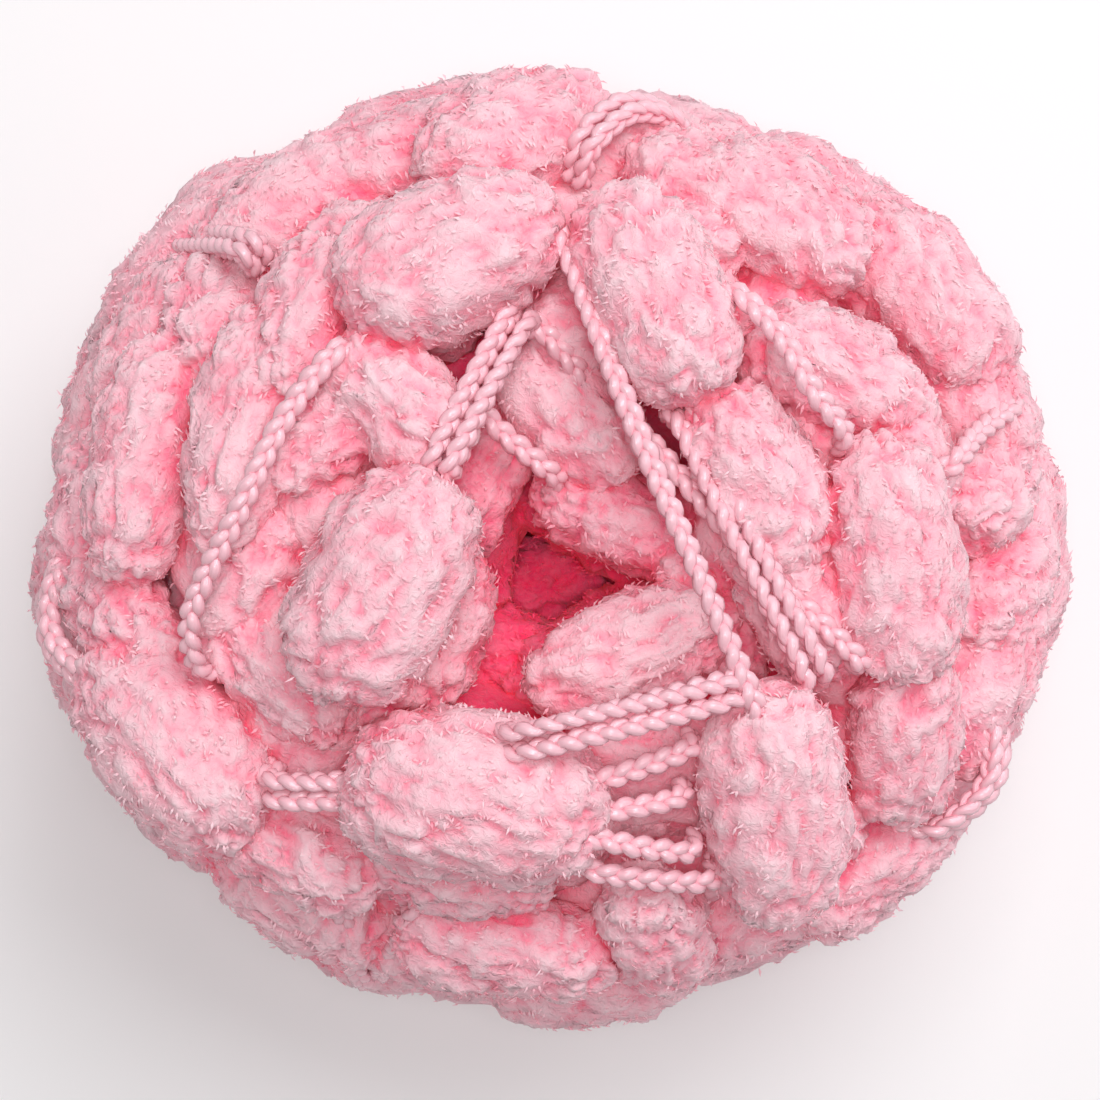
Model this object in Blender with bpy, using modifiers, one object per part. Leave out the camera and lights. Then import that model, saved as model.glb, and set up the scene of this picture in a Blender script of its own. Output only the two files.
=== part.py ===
"""A ball of pom pom yarn, lying on a small flat spot with the hollow of its middle facing up.

Pom pom yarn is a thin braided cord that carries a fluffy oval pompom of cut pile every few
centimetres. Wound into a ball it is one lumpy body. Pompoms lie side by side all over it, and
the bare cord shows where it runs on to the next pompom or is stretched across the hollow.
Sizes in the tables are millimetres, east is +X, north is +Y, and up is +Z.
"""

import math
from collections import namedtuple

import bmesh
import bpy
import numpy as np
from mathutils import Matrix, Vector

MM = 0.001

# The axes of the pompoms lie on this rounded dome, the seat. It is flatter than an ellipsoid.
SEAT_EAST = 54.0
SEAT_NORTH = 50.0
SEAT_UP = 36.0
SEAT_ROUNDNESS = 2.5
MIDDLE_HEIGHT = 42.5

# A pompom is a barrel with round ends. A fullness of 2 would make it an ellipsoid.
POMPOM_LENGTH = 29.0
POMPOM_WIDTH = 18.0
POMPOM_FULLNESS = 2.5
POMPOM_FLATNESS = 0.92
BARREL_SEGMENTS = 20
BARREL_RINGS = 14

CORD_DIAMETER = 2.8
STRAND_SPACING = 3.3

# Under the pompoms lies an older layer, and inside that a core with a hollow in its top.
OLDER_POMPOMS = 76
OLDER_SHRINK = 0.8
CORE_DEPTH = 11.0
CORE_STEPS = 48
HOLLOW_RADIUS = 17.0
HOLLOW_DEPTH = 32.0
HOLLOW_STEEPNESS = 4

# No picture shows the sides and the underside. Their pompoms follow a golden spiral down from
# just above the widest part. They lean from the level by turns one way and the other.
SPIRAL_POMPOMS = 46
SPIRAL_TOP = 0.16
SPIRAL_SAMPLES = 400
GOLDEN_TURN = math.pi * (3 - math.sqrt(5))
LEANS = (58.0, 128.0)
LEAN_CHANGE = 14.0
SIZE_CHANGE = 0.07
LIFT_CHANGE = 0.8

# Cord links the end of every other pompom there with the start of one close by.
LINKED_EVERY = 2
LINK_SHORTEST = 14.0
LINK_LONGEST = 30.0
LINK_LIFT = 6.8
LINK_STOPS = (0.3, 0.7)
TUCK = 4.0

# How finely pompoms and cords are fused, and the share of the facets that is kept.
POMPOM_FUSE = 1.05
POMPOM_FACETS = 0.0395
CORD_FUSE = 0.5
CORD_FACETS = 0.033

YARN_PINK = (0.93, 0.42, 0.50, 1.0)

Pompom = namedtuple("Pompom", "east north length width turn lift")
Cord = namedtuple("Cord", "strands route")

# Pompoms around the hollow, the nearest ones to someone who looks into it.
HOLLOW_RIM = (
    Pompom(-11, 31, 28, 19, 28, 3),
    Pompom(11, 27, 28, 17, -68, 3),
    Pompom(-18, -4, 29, 19, 62, 3),
    Pompom(-8, -26, 31, 21, -6, 3),
    Pompom(24, -27, 31, 18, -78, 3),
    Pompom(23, 8, 24, 15, -60, 0),
    Pompom(28, -5, 24, 14, -60, -3),
)

# Pompoms on the wall of the hollow, down to the one at its bottom.
HOLLOW_WALL = (
    Pompom(2, 18, 24, 15, -50, -10),
    Pompom(9, 4, 23, 13, -20, -13),
    Pompom(10, -12, 27, 14, 22, -8),
    Pompom(-14, -10, 22, 13, 70, -10),
    Pompom(-10, 8, 24, 13, 62, -13),
    Pompom(20, -8, 22, 13, -70, -11),
    Pompom(-25, -19, 20, 12, 35, -7),
    Pompom(12, -28, 22, 14, 90, -9),
    Pompom(6, 5, 26, 14, -30, -24),
    Pompom(-11, 1, 24, 14, 75, -24),
    Pompom(7, -14, 26, 14, 30, -22),
    Pompom(-6, -16, 22, 13, -20, -25),
    Pompom(-2, -5, 22, 13, 20, -35),
)

# Pompoms on the shoulder, between the hollow's rim and the ball's widest part.
SHOULDER = (
    Pompom(-41, -21, 30, 20, -33, 2),
    Pompom(37, -1, 30, 17, -78, 2),
    Pompom(40, -21, 24, 15, -70, 0),
    Pompom(42, 28, 28, 17, -62, 2),
    Pompom(26, 38, 25, 17, -35, 0),
    Pompom(32, 20, 24, 15, -20, -1),
    Pompom(37, -35, 25, 15, 27, 1),
    Pompom(12, -43, 24, 14, -75, 0),
    Pompom(-5, -45, 28, 14, -4, 0),
    Pompom(-29, -34, 24, 13, -8, 0),
    Pompom(-45, 10, 30, 15, 86, 1),
    Pompom(-34, 13, 30, 14, 84, 0),
    Pompom(-27, 25, 22, 13, 85, 1),
    Pompom(-25, 13, 20, 13, 30, -1),
    Pompom(-17, 16, 22, 14, -45, 0),
    Pompom(-31, -14, 22, 13, -40, -3),
)

# Pompoms around the ball's widest part.
WIDEST = (
    Pompom(48, 19, 26, 15, -70, 0),
    Pompom(51, 8, 24, 15, 20, -1),
    Pompom(52, -4, 24, 15, 10, 0),
    Pompom(49, -15, 25, 16, 60, 0),
    Pompom(45, -26, 22, 14, 50, -4),
    Pompom(24, -44, 26, 14, 15, -2),
    Pompom(5, -48, 24, 13, 0, -4),
    Pompom(-29, -41, 25, 15, -15, -1),
    Pompom(-41, -31, 24, 14, -50, -2),
    Pompom(-49, -7, 25, 14, -15, 0),
    Pompom(-52, 4, 22, 15, 80, 0),
    Pompom(-50, 15, 22, 14, 70, -4),
    Pompom(-45, 24, 24, 15, 35, 0),
    Pompom(-39, 27, 22, 15, -60, -1),
    Pompom(-30, 39, 27, 16, 28, 0),
    Pompom(-17, 45, 28, 15, 8, 0),
    Pompom(-4, 46, 27, 18, 60, 1),
    Pompom(9, 47, 24, 13, 5, -1),
    Pompom(17, 42, 20, 14, -45, -1),
    Pompom(23, 44, 24, 14, -25, -2),
    Pompom(35, 36, 24, 15, -45, -2),
)

# Pompoms a little lower down, seen in the gaps between the ones above.
BETWEEN = (
    Pompom(0, 49, 26, 15, 5, -1),
    Pompom(13, 36, 22, 14, 20, -4),
    Pompom(41, 12, 22, 14, -75, -3),
    Pompom(28, -34, 22, 14, -20, -3),
    Pompom(-11, -37, 24, 14, -8, -3),
    Pompom(-12, -48, 25, 14, -12, -2),
    Pompom(-46, -24, 24, 14, -55, -2),
    Pompom(-35, -4, 22, 13, 60, -3),
    Pompom(-21, 36, 22, 14, -30, -4),
)

# Bare cord between pompoms. A route's points are east, north and lift above the seat.
CORDS = (
    Cord(1, ((0, 35, 4), (10, 10, 6), (20, -14, 8))),
    Cord(2, ((15, 14, 1), (21, 0, 4), (27, -12, 5))),
    Cord(1, ((11, 12, -1), (21, 0, 1), (32, -11, 4))),
    Cord(2, ((-4, 24, 2), (-11, 10, 5))),
    Cord(1, ((-22, 20, 6), (-27, 13, 7), (-31, 4, 8), (-36, -6, 7), (-37, -12, 4))),
    Cord(2, ((-3, -19, 9), (5, -17, 10), (18, -14, 8))),
    Cord(1, ((4, -24, 5), (14, -21, 4))),
    Cord(1, ((4, -27, 5), (13, -26, 4))),
    Cord(1, ((4, -29, 6), (14, -31, 5))),
    Cord(1, ((5, -33, 5), (16, -34, 5))),
    Cord(2, ((4, 43, 4), (8, 45, 6), (13, 46, 4))),
    Cord(1, ((19, 26, 6), (23, 21, 8), (26, 16, 8), (30, 12, 6))),
    Cord(1, ((42, 9, 5), (45, 12, 4), (49, 15, 5))),
    Cord(2, ((-43, 34, 4), (-32, 31, 6))),
    Cord(2, ((-52, -2, 5), (-51, -9, 7), (-47, -14, 5))),
    Cord(2, ((-29, -25, 4), (-21, -25, 4))),
    Cord(1, ((-23, -38, 0), (-23, -44, 2), (-21, -49, 3))),
    Cord(1, ((-14, -38, 0), (-17, -44, 1), (-20, -49, 2))),
    Cord(1, ((-9, 17, -3), (-5, 13, -4), (0, 9, -6))),
    Cord(1, ((-2, 26, -2), (3, 21, -4))),
    Cord(2, ((47, -17, 4), (45, -23, 7), (41, -29, 5))),
)


def superellipse(along, fullness):
    """How far a superellipse reaches out, as a share, at a share of its half length."""
    return np.maximum(0, 1 - np.abs(along) ** fullness) ** (1 / fullness)


def uneven(i, pace):
    """A number from -1 to 1 that changes from one pompom to the next and is the same each time."""
    return math.sin(pace * i)


def seat_height(east, north):
    """Height of the upper seat over the ball's middle."""
    share = math.hypot(east / SEAT_EAST, north / SEAT_NORTH)
    return SEAT_UP * superellipse(share, SEAT_ROUNDNESS)


def onto_seat(point):
    """The point of the seat in the direction of a point, both seen from the ball's middle."""
    share = math.hypot(point.x / SEAT_EAST, point.y / SEAT_NORTH)
    reach = share**SEAT_ROUNDNESS + abs(point.z / SEAT_UP) ** SEAT_ROUNDNESS
    return point / reach ** (1 / SEAT_ROUNDNESS)


def seat_normal(point):
    """Outward direction of the seat at a point on it, from the superellipse's gradient."""
    share = max(1e-6, math.hypot(point.x / SEAT_EAST, point.y / SEAT_NORTH))
    pull = share ** (SEAT_ROUNDNESS - 2)
    rise = math.copysign(abs(point.z / SEAT_UP) ** (SEAT_ROUNDNESS - 1) / SEAT_UP, point.z)
    return Vector(
        (pull * point.x / SEAT_EAST**2, pull * point.y / SEAT_NORTH**2, rise)
    ).normalized()


def above_seat(east, north, lift):
    """The point over or under the upper seat at this place, measured along its normal."""
    point = Vector((east, north, seat_height(east, north)))
    return point + lift * seat_normal(point)


def pompom_place(point, turn, lift):
    """Matrix of a pompom, with X along its cord, Z out of the ball, lifted from the seat."""
    out = seat_normal(point)
    heading = Vector((math.cos(math.radians(turn)), math.sin(math.radians(turn)), 0))
    along = (heading - heading.dot(out) * out).normalized()
    turned = Matrix((along, out.cross(along), out)).transposed().to_4x4()
    return Matrix.Translation(point + lift * out) @ turned


def placed_pompoms():
    """Places and sizes of the pompoms that the tables give."""
    found = []
    for row in HOLLOW_RIM + HOLLOW_WALL + SHOULDER + WIDEST + BETWEEN:
        point = above_seat(row.east, row.north, 0)
        found.append((pompom_place(point, row.turn, row.lift), row.length, row.width))
    return found


def spiral_pompoms(count, top, shrink):
    """Places and sizes of pompoms that share the seat equally from a height down to the bottom."""
    downs = np.linspace(-top, 1, SPIRAL_SAMPLES)
    radii = superellipse(downs, SEAT_ROUNDNESS)
    steps = np.hypot(np.diff(radii) * SEAT_EAST, np.diff(downs) * SEAT_UP)
    covered = np.concatenate([[0], np.cumsum(steps * (radii[1:] + radii[:-1]) / 2)])
    found = []
    for i in range(count):
        down = np.interp(covered[-1] * (i + 1) / count, covered, downs)
        share = superellipse(down, SEAT_ROUNDNESS)
        bearing = i * GOLDEN_TURN
        east = SEAT_EAST * share * math.cos(bearing)
        north = SEAT_NORTH * share * math.sin(bearing)
        turn = math.degrees(bearing) + LEANS[i % 2] + LEAN_CHANGE * uneven(i, 3.1)
        lift = LIFT_CHANGE * uneven(i, 2.3)
        place = pompom_place(Vector((east, north, -down * SEAT_UP)) * shrink, turn, lift)
        size = 1 + SIZE_CHANGE * uneven(i, 1.7)
        found.append((place, POMPOM_LENGTH * size, POMPOM_WIDTH * size))
    return found


def older_pompoms():
    """The layer below, all the way round but for the hollow."""
    for place, length, width in spiral_pompoms(OLDER_POMPOMS, 1.0, OLDER_SHRINK):
        spot = place.translation
        if spot.z < 0 or math.hypot(spot.x, spot.y) > HOLLOW_RADIUS + width / 2:
            yield place, length, width


def barrel_mesh():
    """A closed barrel with round ends, 2 long each way: a sphere with its rings pushed out."""
    shape = bmesh.new()
    bmesh.ops.create_uvsphere(
        shape, u_segments=BARREL_SEGMENTS, v_segments=BARREL_RINGS, radius=1.0
    )
    for vertex in shape.verts:
        ring = math.hypot(vertex.co.x, vertex.co.y)
        if ring > 1e-6:
            full = superellipse(vertex.co.z, POMPOM_FULLNESS) / ring
            vertex.co.x *= full
            vertex.co.y *= full
    mesh = bpy.data.meshes.new("barrel")
    shape.to_mesh(mesh)
    shape.free()
    mesh.transform(Matrix.Rotation(math.pi / 2, 4, "Y"))
    return mesh


def add_pompoms(body, pompoms):
    """Copies of the barrel, each sized, turned and put in its place."""
    barrel = barrel_mesh()
    for place, length, width in pompoms:
        sizes = (length / 2, width / 2, width / 2 * POMPOM_FLATNESS, 1)
        pompom = barrel.copy()
        pompom.transform(place @ Matrix.Diagonal(sizes))
        body.from_mesh(pompom)
        bpy.data.meshes.remove(pompom)
    bpy.data.meshes.remove(barrel)


def strand_routes(cord):
    """Points of each strand of a cord, the strands side by side."""
    points = [above_seat(*stop) for stop in cord.route]
    run = points[-1] - points[0]
    side = run.cross(seat_normal(onto_seat(points[0]))).normalized()
    for i in range(cord.strands):
        shift = (i - (cord.strands - 1) / 2) * STRAND_SPACING
        yield [point + shift * side for point in points]


def linking_routes(pompoms):
    """Cord from the end of a pompom, over what lies between, to the nearest free start."""
    free = set(range(len(pompoms)))
    for i in range(0, len(pompoms), LINKED_EVERY):
        place, length, _ = pompoms[i]
        end = place @ Vector((length / 2 - TUCK, 0, 0))
        starts = {j: pompoms[j][0] @ Vector((TUCK - pompoms[j][1] / 2, 0, 0)) for j in free}
        spans = {
            j: (start - end).length
            for j, start in starts.items()
            if j != i and LINK_SHORTEST < (start - end).length < LINK_LONGEST
        }
        if spans:
            nearest = min(spans, key=spans.get)
            free.remove(nearest)
            start = starts[nearest]
            over = [onto_seat(end.lerp(start, part)) for part in LINK_STOPS]
            yield [end, *(point + LINK_LIFT * seat_normal(point) for point in over), start]


def evaluated_mesh(holder):
    """The mesh that an object's curve or modifiers come to. The object itself is removed."""
    bpy.context.scene.collection.objects.link(holder)
    bpy.context.view_layer.update()
    graph = bpy.context.evaluated_depsgraph_get()
    mesh = bpy.data.meshes.new_from_object(holder.evaluated_get(graph))
    bpy.data.objects.remove(holder)
    return mesh


def cord_mesh(routes):
    """Every strand of bare cord as a smooth round tube with closed ends."""
    curve = bpy.data.curves.new("bare_cord", "CURVE")
    curve.dimensions = "3D"
    curve.bevel_depth = CORD_DIAMETER / 2
    curve.bevel_resolution = 2
    curve.resolution_u = 6
    curve.use_fill_caps = True
    for route in routes:
        spline = curve.splines.new("BEZIER")
        spline.bezier_points.add(len(route) - 1)
        for knot, point in zip(spline.bezier_points, route):
            knot.co = point
            knot.handle_left_type = knot.handle_right_type = "AUTO"
    return evaluated_mesh(bpy.data.objects.new("bare_cord", curve))


def core_profile():
    """Half outline of the core, from the bottom of the hollow over its lip and down to the base."""
    radius = SEAT_EAST - CORE_DEPTH
    top = SEAT_UP - CORE_DEPTH
    points = []
    for i in range(CORE_STEPS + 1):
        angle = math.pi * i / CORE_STEPS
        out = radius * math.sin(angle) ** (2 / SEAT_ROUNDNESS)
        up = math.copysign(abs(math.cos(angle)) ** (2 / SEAT_ROUNDNESS), math.cos(angle))
        sunk = HOLLOW_DEPTH * math.exp(-((out / HOLLOW_RADIUS) ** HOLLOW_STEEPNESS))
        points.append((out, 0, top * up - (sunk if up > 0 else 0)))
    return points


def core_mesh():
    """The packed core: its half outline turned about the ball's upright axis."""
    outline = bpy.data.meshes.new("core_outline")
    edges = [(i, i + 1) for i in range(CORE_STEPS)]
    outline.from_pydata(core_profile(), edges, [])
    holder = bpy.data.objects.new("core_outline", outline)
    turned = holder.modifiers.new("turn", "SCREW")
    turned.steps = turned.render_steps = CORE_STEPS
    turned.use_merge_vertices = True
    turned.merge_threshold = 1e-4
    solid = evaluated_mesh(holder)
    solid.transform(Matrix.Diagonal((1, SEAT_NORTH / SEAT_EAST, 1, 1)))
    return solid


def as_cutter(thing, collection):
    """Keeps an object that only a modifier uses out of the picture, in its own collection."""
    thing.hide_render = True
    thing.display_type = "WIRE"
    for holder in list(thing.users_collection):
        holder.objects.unlink(thing)
    collection.objects.link(thing)
    return thing


def floor_block():
    """A block whose top is the surface the ball lies on. It presses the underside flat."""
    side = 3 * SEAT_EAST * MM
    bpy.ops.mesh.primitive_cube_add(size=side, location=(0, 0, -side / 2))
    block = bpy.context.object
    block.name = "floor_block"
    return block


def yarn_material():
    """Pink polyester pile, dull all over."""
    material = bpy.data.materials.new("pink_yarn")
    material.use_nodes = True
    shader = material.node_tree.nodes["Principled BSDF"]
    shader.inputs["Base Color"].default_value = YARN_PINK
    shader.inputs["Roughness"].default_value = 0.9
    shader.inputs["Metallic"].default_value = 0.0
    return material


def fused(name, mesh, size, share):
    """An object of a mesh in millimetres, fused into one skin and cut down to flat facets."""
    mesh.transform(Matrix.Scale(MM, 4) @ Matrix.Translation((0, 0, MIDDLE_HEIGHT)))
    thing = bpy.data.objects.new(name, mesh)
    fuse = thing.modifiers.new("fuse", "REMESH")
    fuse.mode = "VOXEL"
    fuse.voxel_size = size * MM
    thing.modifiers.new("facets", "DECIMATE").ratio = share
    return thing


def wind_ball(parts, cutters):
    """The whole ball as one solid: pompoms on their core, joined by cords, on a flat spot."""
    spiral = spiral_pompoms(SPIRAL_POMPOMS, SPIRAL_TOP, 1.0)
    body = bmesh.new()
    body.from_mesh(core_mesh())
    add_pompoms(body, [*placed_pompoms(), *spiral, *older_pompoms()])
    wound = bpy.data.meshes.new("yarn_ball")
    body.to_mesh(wound)
    body.free()
    ball = fused("yarn_ball", wound, POMPOM_FUSE, POMPOM_FACETS)
    parts.objects.link(ball)

    routes = [route for cord in CORDS for route in strand_routes(cord)]
    routes += linking_routes(spiral)
    cords = fused("cords", cord_mesh(routes), CORD_FUSE, CORD_FACETS)
    tie = ball.modifiers.new("tie", "BOOLEAN")
    tie.operation = "UNION"
    tie.object = as_cutter(cords, cutters)
    rest = ball.modifiers.new("rest", "BOOLEAN")
    rest.operation = "DIFFERENCE"
    rest.object = as_cutter(floor_block(), cutters)
    ball.data.materials.append(yarn_material())


def main():
    for thing in list(bpy.data.objects):
        bpy.data.objects.remove(thing)
    parts = bpy.data.collections.new("pom_pom_yarn_ball")
    cutters = bpy.data.collections.new("cutters")
    for collection in (parts, cutters):
        bpy.context.scene.collection.children.link(collection)
    wind_ball(parts, cutters)


main()
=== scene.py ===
# %% [markdown]
# A ball of pom pom yarn, seen from above.
#
# The yarn is a thin plaited cord of satin-like polyester. Every few centimetres it carries a
# fluffy oval pompom of cut pile. Wound up, the pompoms lie side by side, and the bare cord is
# stretched between them, most plainly across the open middle of the ball.
#
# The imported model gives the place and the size. It is one plain solid, and this lesson dresses
# it: tufted pompom bodies, a nap of many small locks of pile, and plaited cords.

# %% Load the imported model
import itertools
import math
from collections import namedtuple

import bpy
import numpy as np
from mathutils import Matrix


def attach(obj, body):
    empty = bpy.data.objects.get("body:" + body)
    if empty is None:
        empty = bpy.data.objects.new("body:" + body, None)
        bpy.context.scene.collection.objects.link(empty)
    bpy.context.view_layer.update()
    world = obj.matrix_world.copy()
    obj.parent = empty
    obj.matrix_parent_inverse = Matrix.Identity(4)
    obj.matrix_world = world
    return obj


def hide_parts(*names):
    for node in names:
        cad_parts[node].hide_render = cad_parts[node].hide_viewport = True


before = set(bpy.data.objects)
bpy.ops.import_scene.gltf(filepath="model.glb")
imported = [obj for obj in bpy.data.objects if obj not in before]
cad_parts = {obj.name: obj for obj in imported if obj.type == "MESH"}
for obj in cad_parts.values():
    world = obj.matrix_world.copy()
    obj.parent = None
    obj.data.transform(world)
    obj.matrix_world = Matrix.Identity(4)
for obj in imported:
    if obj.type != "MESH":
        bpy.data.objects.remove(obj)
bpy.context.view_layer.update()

MM = 0.001

# %% [markdown]
# ## Camera, light and floor
#
# The picture looks straight down into the ball's open middle, with its upper edge to the north.
# A lens this long keeps the widest part nearly as large as the top. Four soft lamps light it.
# The key stands to the upper right, as the grey lower sides of the pompoms show. A lamp straight
# above reaches into the open middle, one at the right keeps that side pale, and a weak fill
# softens the left. The floor is a plain white sheet, so it throws light back under the ball.

# %% Place the camera
MIDDLE_HEIGHT = 42.5
CAMERA_DISTANCE = 400.0
PICTURE_WIDTH = 132.0

camera = bpy.data.objects.new("camera", bpy.data.cameras.new("camera"))
bpy.context.scene.collection.objects.link(camera)
camera.location = (0, 0, (MIDDLE_HEIGHT + CAMERA_DISTANCE) * MM)
camera.data.lens = camera.data.sensor_width * CAMERA_DISTANCE / PICTURE_WIDTH
bpy.context.scene.camera = camera
print("lens", round(camera.data.lens, 1), "mm")

# %% Light the scene


def add_area_light(name, place, target, size, power, colour):
    """A square soft light at a place, facing a target, both in metres."""
    light = bpy.data.objects.new(name, bpy.data.lights.new(name, "AREA"))
    light.data.size = size
    light.data.energy = power
    light.data.color = colour
    away = np.subtract(place, target)
    light.location = place
    light.rotation_euler = (
        math.atan2(math.hypot(away[0], away[1]), away[2]),
        0,
        math.atan2(away[0], -away[1]),
    )
    bpy.context.scene.collection.objects.link(light)
    return light


BALL_MIDDLE = (0, 0, MIDDLE_HEIGHT * MM)
LIGHTS = (
    ("key", (0.2, 0.4, 0.78), 0.5, 4.0, (1.0, 0.98, 1.0)),
    ("top", (0, 0, 0.95), 0.2, 2.8, (1.0, 0.99, 1.0)),
    ("side", (0.8, 0.15, 0.3), 0.5, 1.2, (1.0, 0.98, 1.0)),
    ("fill", (-0.5, -0.2, 0.6), 0.8, 0.25, (1.0, 0.97, 0.9)),
)
SURROUND_LIGHT = 0.3

for name, place, size, power, colour in LIGHTS:
    add_area_light(name, place, BALL_MIDDLE, size, power, colour)

world = bpy.data.worlds.new("studio")
world.use_nodes = True
background = world.node_tree.nodes["Background"]
background.inputs["Color"].default_value = (1, 1, 1, 1)
background.inputs["Strength"].default_value = SURROUND_LIGHT
bpy.context.scene.world = world
bpy.context.scene.view_settings.view_transform = "Standard"
bpy.context.scene.cycles.diffuse_bounces = 8
bpy.context.scene.cycles.max_bounces = 12
print("lights", [light[0] for light in LIGHTS])

# %% Lay the floor


def plain_material(name, colour, roughness):
    """A Principled material with one colour and roughness."""
    material = bpy.data.materials.new(name)
    material.use_nodes = True
    shader = material.node_tree.nodes["Principled BSDF"]
    shader.inputs["Base Color"].default_value = (*colour, 1)
    shader.inputs["Roughness"].default_value = roughness
    return material


FLOOR_SIDE = 4.0
FLOOR_COLOUR = (0.9, 0.9, 0.9)
FLOOR_ROUGHNESS = 0.8

edge = FLOOR_SIDE / 2
floor_mesh = bpy.data.meshes.new("floor")
floor_mesh.from_pydata(
    [(-edge, -edge, 0), (edge, -edge, 0), (edge, edge, 0), (-edge, edge, 0)],
    [],
    [(0, 1, 2, 3)],
)
floor_mesh.materials.append(plain_material("white_floor", FLOOR_COLOUR, FLOOR_ROUGHNESS))
floor = bpy.data.objects.new("floor", floor_mesh)
bpy.context.scene.collection.objects.link(floor)
print("floor", FLOOR_SIDE, "m a side")

# %% [markdown]
# ## Where the pompoms lie
#
# The same short tables as in the solid give the pompoms that the picture shows, in millimetres:
# east is right, north is up. Their axes lie on a rounded dome, the seat, whose outline is a
# superellipse. Sides and underside follow a golden spiral, which spreads points evenly over a
# round form, and an older layer fills in below. Keeping one layout for both models means that
# every pompom made here sits inside the solid's own bump.

# %% The seat
SEAT = np.array([54.0, 50.0, 36.0])
SEAT_ROUNDNESS = 2.5


def superellipse(along, fullness):
    """How far a superellipse reaches out, as a share: (1 - |along|^n)^(1/n)."""
    return np.maximum(0, 1 - np.abs(along) ** fullness) ** (1 / fullness)


def seat_point(east, north):
    """Points of the upper seat over places on the ground."""
    share = np.hypot(east / SEAT[0], north / SEAT[1])
    return np.stack([east, north, SEAT[2] * superellipse(share, SEAT_ROUNDNESS)], axis=-1)


def seat_share(points):
    """1 on the seat, less inside it: (radius^n + height^n)^(1/n), each as a share of the seat."""
    radius = np.hypot(points[..., 0] / SEAT[0], points[..., 1] / SEAT[1])
    height = np.abs(points[..., 2] / SEAT[2])
    return (radius**SEAT_ROUNDNESS + height**SEAT_ROUNDNESS) ** (1 / SEAT_ROUNDNESS)


def unit(vectors):
    """The same directions with length 1."""
    return vectors / np.maximum(np.linalg.norm(vectors, axis=-1, keepdims=True), 1e-9)


def seat_normal(points):
    """Outward directions of the seat, from the gradient of its superellipse."""
    shares = points / SEAT
    radius = np.maximum(np.hypot(shares[..., 0], shares[..., 1]), 1e-6)
    pull = radius ** (SEAT_ROUNDNESS - 2)
    rise = np.sign(shares[..., 2]) * np.abs(shares[..., 2]) ** (SEAT_ROUNDNESS - 1)
    slope = np.stack([pull * shares[..., 0], pull * shares[..., 1], rise], axis=-1)
    return unit(slope / SEAT)


print("seat", 2 * SEAT, "mm")

# %% The tables
Pompom = namedtuple("Pompom", "east north length width turn lift")
Cord = namedtuple("Cord", "strands route")

HOLLOW_RIM = (
    Pompom(-11, 31, 28, 19, 28, 3),
    Pompom(11, 27, 28, 17, -68, 3),
    Pompom(-18, -4, 29, 19, 62, 3),
    Pompom(-8, -26, 31, 21, -6, 3),
    Pompom(24, -27, 31, 18, -78, 3),
    Pompom(23, 8, 24, 15, -60, 0),
    Pompom(28, -5, 24, 14, -60, -3),
)

HOLLOW_WALL = (
    Pompom(2, 18, 24, 15, -50, -10),
    Pompom(9, 4, 23, 13, -20, -13),
    Pompom(10, -12, 27, 14, 22, -8),
    Pompom(-14, -10, 22, 13, 70, -10),
    Pompom(-10, 8, 24, 13, 62, -13),
    Pompom(20, -8, 22, 13, -70, -11),
    Pompom(-25, -19, 20, 12, 35, -7),
    Pompom(12, -28, 22, 14, 90, -9),
    Pompom(6, 5, 26, 14, -30, -24),
    Pompom(-11, 1, 24, 14, 75, -24),
    Pompom(7, -14, 26, 14, 30, -22),
    Pompom(-6, -16, 22, 13, -20, -25),
    Pompom(-2, -5, 22, 13, 20, -35),
)

SHOULDER = (
    Pompom(-41, -21, 30, 20, -33, 2),
    Pompom(37, -1, 30, 17, -78, 2),
    Pompom(40, -21, 24, 15, -70, 0),
    Pompom(42, 28, 28, 17, -62, 2),
    Pompom(26, 38, 25, 17, -35, 0),
    Pompom(32, 20, 24, 15, -20, -1),
    Pompom(37, -35, 25, 15, 27, 1),
    Pompom(12, -43, 24, 14, -75, 0),
    Pompom(-5, -45, 28, 14, -4, 0),
    Pompom(-29, -34, 24, 13, -8, 0),
    Pompom(-45, 10, 30, 15, 86, 1),
    Pompom(-34, 13, 30, 14, 84, 0),
    Pompom(-27, 25, 22, 13, 85, 1),
    Pompom(-25, 13, 20, 13, 30, -1),
    Pompom(-17, 16, 22, 14, -45, 0),
    Pompom(-31, -14, 22, 13, -40, -3),
)

WIDEST = (
    Pompom(48, 19, 26, 15, -70, 0),
    Pompom(51, 8, 24, 15, 20, -1),
    Pompom(52, -4, 24, 15, 10, 0),
    Pompom(49, -15, 25, 16, 60, 0),
    Pompom(45, -26, 22, 14, 50, -4),
    Pompom(24, -44, 26, 14, 15, -2),
    Pompom(5, -48, 24, 13, 0, -4),
    Pompom(-29, -41, 25, 15, -15, -1),
    Pompom(-41, -31, 24, 14, -50, -2),
    Pompom(-49, -7, 25, 14, -15, 0),
    Pompom(-52, 4, 22, 15, 80, 0),
    Pompom(-50, 15, 22, 14, 70, -4),
    Pompom(-45, 24, 24, 15, 35, 0),
    Pompom(-39, 27, 22, 15, -60, -1),
    Pompom(-30, 39, 27, 16, 28, 0),
    Pompom(-17, 45, 28, 15, 8, 0),
    Pompom(-4, 46, 27, 18, 60, 1),
    Pompom(9, 47, 24, 13, 5, -1),
    Pompom(17, 42, 20, 14, -45, -1),
    Pompom(23, 44, 24, 14, -25, -2),
    Pompom(35, 36, 24, 15, -45, -2),
)

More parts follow.
